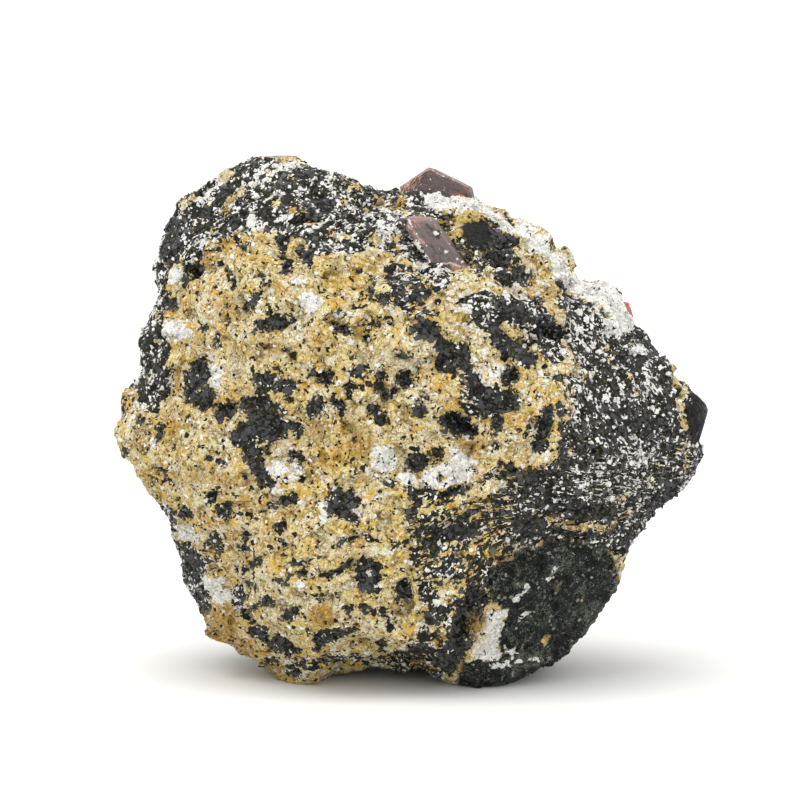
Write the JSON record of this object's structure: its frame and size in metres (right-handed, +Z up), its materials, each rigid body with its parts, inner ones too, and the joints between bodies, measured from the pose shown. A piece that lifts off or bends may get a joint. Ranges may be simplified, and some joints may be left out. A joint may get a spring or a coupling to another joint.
{
  "type": "zircon on matrix",
  "caption": "Broken lump of biotite gneiss with square, pyramid-ended zircon crystals set in its crest and upper slope; rests on its own feet.",
  "frame": {"origin": "middle of the specimen's outline seen from above, at the height of the surface it rests on", "axes": "+X to the right of the show side, +Y away from the viewer of the show side, +Z up"},
  "size_m": [0.0768, 0.0494, 0.0675],
  "materials": {
    "matrix": "broken biotite gneiss, sugary feldspar with matt black mica",
    "zircon_crest": "glossy red-brown crystal faces",
    "zircon_slope": "glossy red-brown crystal faces",
    "zircon_shoulder": "glossy orange-red crystal tip"
  },
  "bodies": {
    "root": {"matrix": "matrix", "zircon_crest": "zircon_crest", "zircon_slope": "zircon_slope", "zircon_shoulder": "zircon_shoulder"}
  },
  "joints": []
}
